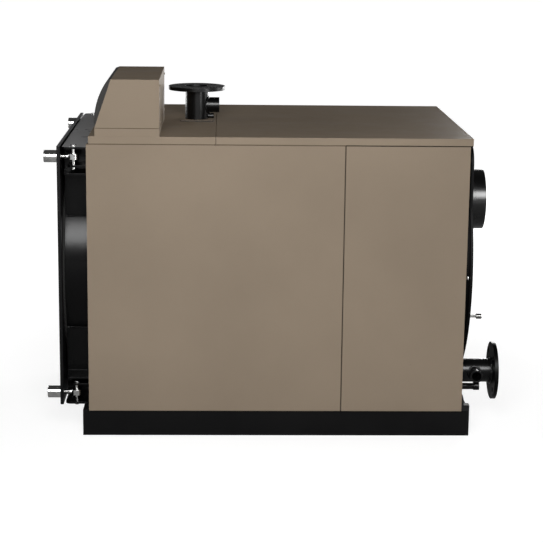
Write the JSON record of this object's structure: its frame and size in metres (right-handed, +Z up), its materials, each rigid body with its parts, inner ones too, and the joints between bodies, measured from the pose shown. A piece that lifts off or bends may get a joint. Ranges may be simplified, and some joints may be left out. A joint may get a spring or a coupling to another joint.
{
  "type": "industrial hot-water boiler",
  "caption": "Horizontal fire-tube hot-water boiler with sheet casing, hinged front door, sloping control panel, flanged water connections and rear flue outlet.",
  "frame": {"origin": "on the floor, at the middle of the overall length and width", "axes": "+X from the front door to the rear flue outlet, +Y to the side away from the return flange, +Z up"},
  "size_m": [1.429, 0.89, 1.1205],
  "materials": {
    "casing_paint": "satin",
    "black_paint": "semi-gloss",
    "base_paint": "satin",
    "pipe_paint": "gloss",
    "bare_steel": "mill finish",
    "zinc": "zinc plated",
    "refractory": "matt",
    "fibre_rope": "woven",
    "black_rubber": "matt",
    "dark_plastic": "fine grain",
    "sight_glass": "clear"
  },
  "bodies": {
    "boiler": {"base_crossbars": "base_paint", "base_rails": "base_paint", "boiler_shell": "black_paint", "collar_plate": "casing_paint", "drain_pipe": "pipe_paint", "eyebolts_far": "zinc", "fire_tubes": "bare_steel", "flue_spigot": "black_paint", "front_bulkhead": "black_paint", "front_frame_bottom": "black_paint", "front_frame_sides": "black_paint", "front_frame_top": "black_paint", "furnace": "bare_steel", "hatch_bolt": "zinc", "hinge_lugs": "black_paint", "hinge_pins": "zinc", "lid_front": "casing_paint", "lid_rear": "casing_paint", "lid_seals": "black_rubber", "panel_fascia": "dark_plastic", "panel_hood": "casing_paint", "panel_plinth": "casing_paint", "panel_seal": "black_rubber", "panel_switches": "dark_plastic", "pipe_collar": "black_rubber", "rear_brackets": "black_paint", "rear_panel": "casing_paint", "return_branch": "pipe_paint", "return_flange": "pipe_paint", "return_pipe": "pipe_paint", "return_socket": "pipe_paint", "shell_saddles": "base_paint", "side_panel_far_front": "casing_paint", "side_panel_far_rear": "casing_paint", "side_panel_near_front": "casing_paint", "side_panel_near_rear": "casing_paint", "smokebox_cover": "black_paint", "smokebox_drum": "black_paint", "soot_hatch": "black_paint", "supply_flange": "pipe_paint", "supply_pipe": "pipe_paint", "supply_socket": "pipe_paint", "thermometer_dial": "dark_plastic", "thermostat_knob": "dark_plastic", "tube_plates": "bare_steel"},
    "door": {"burner_plate": "black_paint", "door_lining": "refractory", "door_plate": "black_paint", "door_rope_seal": "fibre_rope", "eyebolts_near": "zinc", "sight_glass": "sight_glass", "sight_tube": "black_paint", "sleeve_nuts": "zinc"}
  },
  "joints": [
    {"name": "door_hinge", "type": "hinge", "parent": "boiler", "child": "door", "pos_m": [-0.6245, -0.41, 0.508], "axis": [0, 0, 1], "range_deg": [0, 90]}
  ]
}
